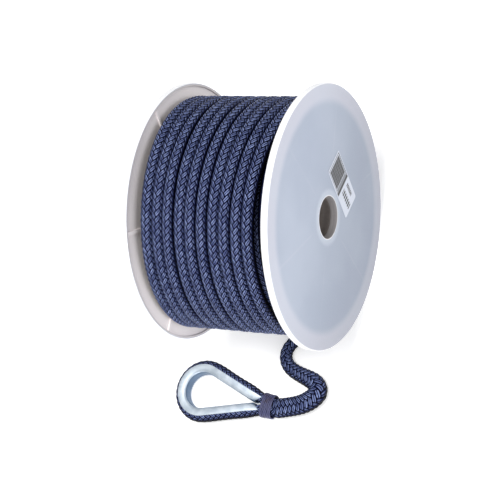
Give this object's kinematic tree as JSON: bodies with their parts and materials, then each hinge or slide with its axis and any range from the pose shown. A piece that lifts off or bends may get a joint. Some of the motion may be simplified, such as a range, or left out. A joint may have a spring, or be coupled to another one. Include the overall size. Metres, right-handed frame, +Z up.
{
  "type": "coiled dock line",
  "caption": "Reel of double-braided mooring line on a flanged plastic spool, with its outer end spliced round a steel thimble that takes a shackle.",
  "frame": {"origin": "on the floor, under the middle of the reel, which stands on its two rims", "axes": "+X along the reel's axle towards the flange where the free end leaves, +Z up, and the free end lies on the floor towards -Y"},
  "size_m": [0.1538, 0.2493, 0.2],
  "materials": {
    "flange_plastic": "satin",
    "tube_fibre": "matte",
    "navy_braid": "matte",
    "white_core": "matte",
    "thimble_steel": "satin",
    "whipping_twine": "matte",
    "label_paper": "satin"
  },
  "bodies": {
    "root": {"front_flange": "flange_plastic", "rear_flange": "flange_plastic", "core_tube": "tube_fibre", "rope_inner_layers": "navy_braid", "rope_outer_layer": "navy_braid", "rope_tail": "navy_braid", "splice_core": "white_core", "rope_eye": "navy_braid", "thimble": "thimble_steel", "whipping": "whipping_twine", "label": "label_paper"}
  },
  "joints": []
}
